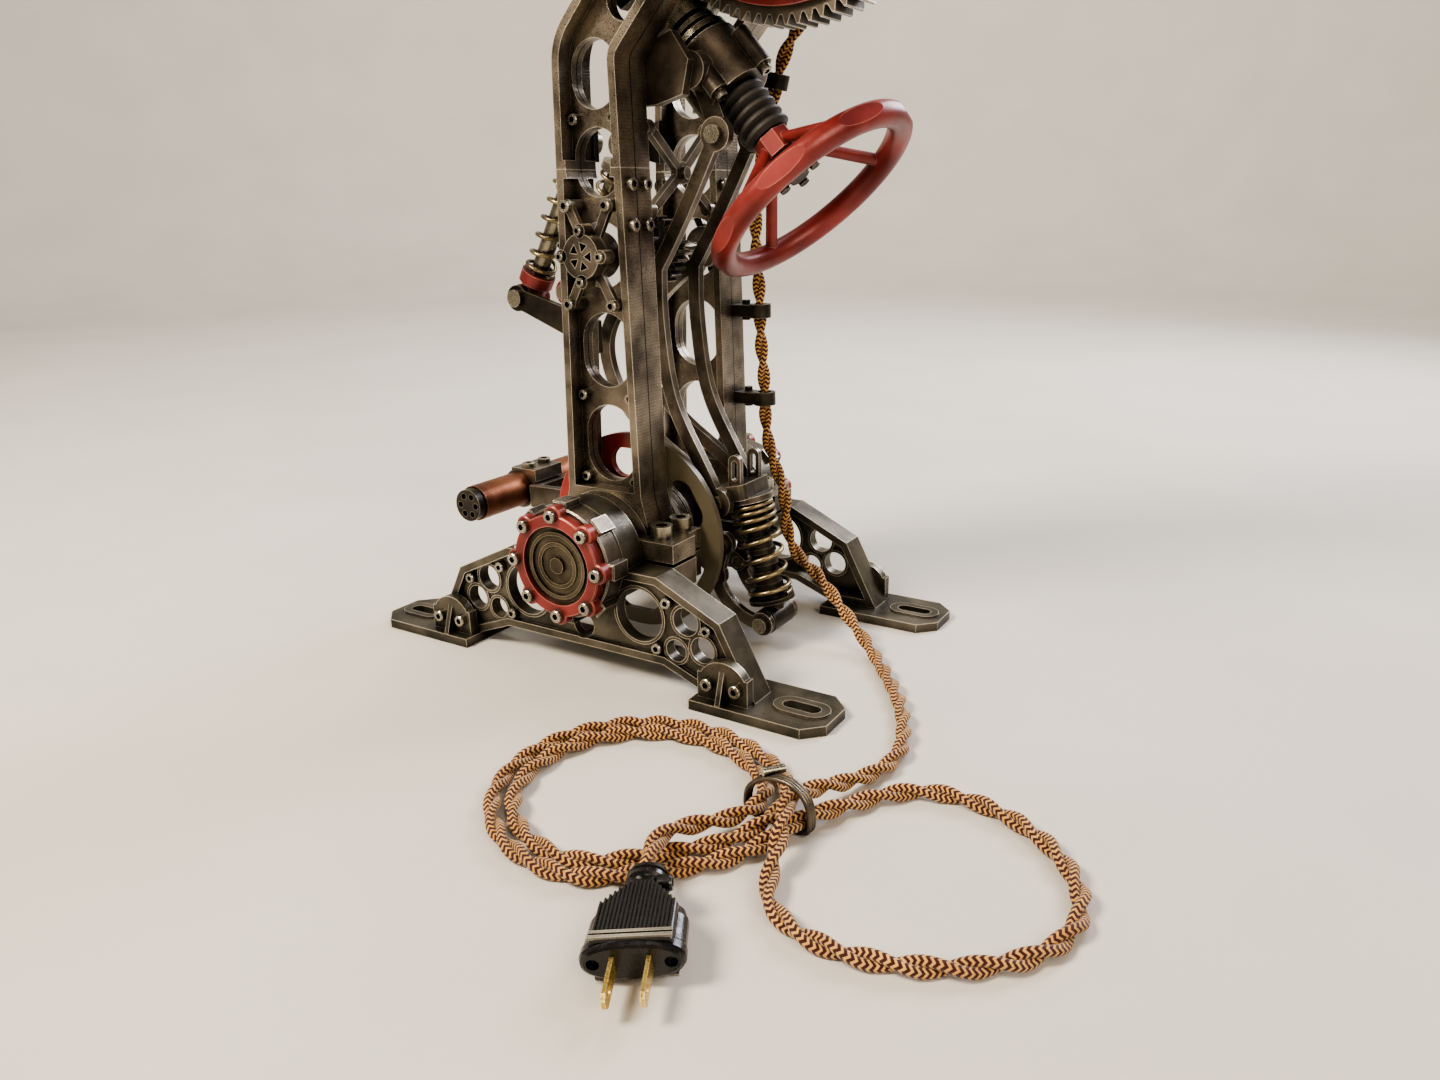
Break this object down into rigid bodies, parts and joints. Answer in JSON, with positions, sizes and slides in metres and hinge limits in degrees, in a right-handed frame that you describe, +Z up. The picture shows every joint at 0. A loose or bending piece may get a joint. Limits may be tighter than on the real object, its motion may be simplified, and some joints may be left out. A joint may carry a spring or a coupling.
{
  "type": "machine-style lamp stand with swing arm",
  "caption": "Iron machine-style lamp: arched feet, twin leaning column castings, red handwheel with worm drive to a swing arm, tilting bell shade, springs, and a cloth cord tied in loops.",
  "frame": {"origin": "on the floor under the trunnion, midway between the feet", "axes": "+X to the handwheel and lamp head, +Y to the far side with the cord clamps, +Z up"},
  "size_m": [0.4798, 0.3961, 0.586],
  "materials": {
    "iron": "worn machined casting",
    "dark_iron": "dark worn casting",
    "red_paint": "satin",
    "copper": "burnished",
    "steel": "satin",
    "spring_steel": "antique",
    "black_plastic": "matte",
    "brass": "polished",
    "cord_cloth": "woven",
    "glass": "clear amber",
    "black_iron": "satin",
    "rubber": "matte"
  },
  "bodies": {
    "stand": {"badge_discs": "iron", "base_screws": "steel", "bearing_housings": "iron", "bellows": "rubber", "canister_caps": "black_iron", "canister_tubes": "copper", "cap_rings": "red_paint", "clamp_saddles": "iron", "clamp_screws": "steel", "column_gear": "black_iron", "column_lower_far": "iron", "column_lower_near": "iron", "column_upper_far": "iron", "column_upper_near": "iron", "cord_coil": "cord_cloth", "cord_fittings": "black_iron", "cord_lead": "cord_cloth", "cord_tie": "black_iron", "cord_upper": "cord_cloth", "cross_shaft": "steel", "curved_arms": "black_iron", "damper_body": "black_iron", "foot_pads": "dark_iron", "foot_plate_far": "dark_iron", "foot_plate_near": "dark_iron", "gearbox_housing": "iron", "gearbox_screws": "steel", "hex_bolts": "steel", "index_disc": "red_paint", "pierced_caps": "iron", "pivot_pins": "steel", "plug_blades": "brass", "plug_body": "black_plastic", "rear_arms": "black_iron", "rear_bracket": "iron", "rear_cups": "red_paint", "rear_dampers": "steel", "rear_springs": "spring_steel", "shock_head": "iron", "shock_levers": "iron", "shock_spring": "spring_steel", "spider_brace": "iron", "torque_straps": "iron", "trunnion_tube": "iron", "web_screws": "steel", "worm_bearing": "iron", "x_brackets": "iron"},
    "arm": {"worm_wheel": "iron", "wheel_covers": "red_paint", "wheel_axle": "steel", "arm_plates": "iron", "arm_spacers": "iron"},
    "handwheel": {"handwheel": "red_paint", "hub_plate": "black_iron", "worm_shaft": "steel"},
    "head": {"head_yoke": "iron", "lamp_socket": "black_iron", "shade": "red_paint", "bulb": "glass"},
    "key": {"switch_key": "brass"}
  },
  "joints": [
    {"name": "arm_swing", "type": "hinge", "parent": "stand", "child": "arm", "pos_m": [0.09, 0, 0.42], "axis": [0, 1, 0], "range_deg": [-25, 25]},
    {"name": "handwheel_spin", "type": "hinge", "parent": "stand", "child": "handwheel", "pos_m": [0.0983, 0, 0.2541], "axis": [-0.6553, 0, 0.7554], "range_deg": [-2200, 2200]},
    {"name": "head_tilt", "type": "hinge", "parent": "arm", "child": "head", "pos_m": [0.27002, 0, 0.57106], "axis": [0, 1, 0], "range_deg": [-80, 10]},
    {"name": "switch_turn", "type": "hinge", "parent": "head", "child": "key", "pos_m": [0.27002, -0.021, 0.53356], "axis": [0, -1, 0], "range_deg": [0, 90]}
  ],
  "couplings": [
    {"joint": "handwheel_spin", "follows": "arm_swing", "ratio": -86}
  ]
}
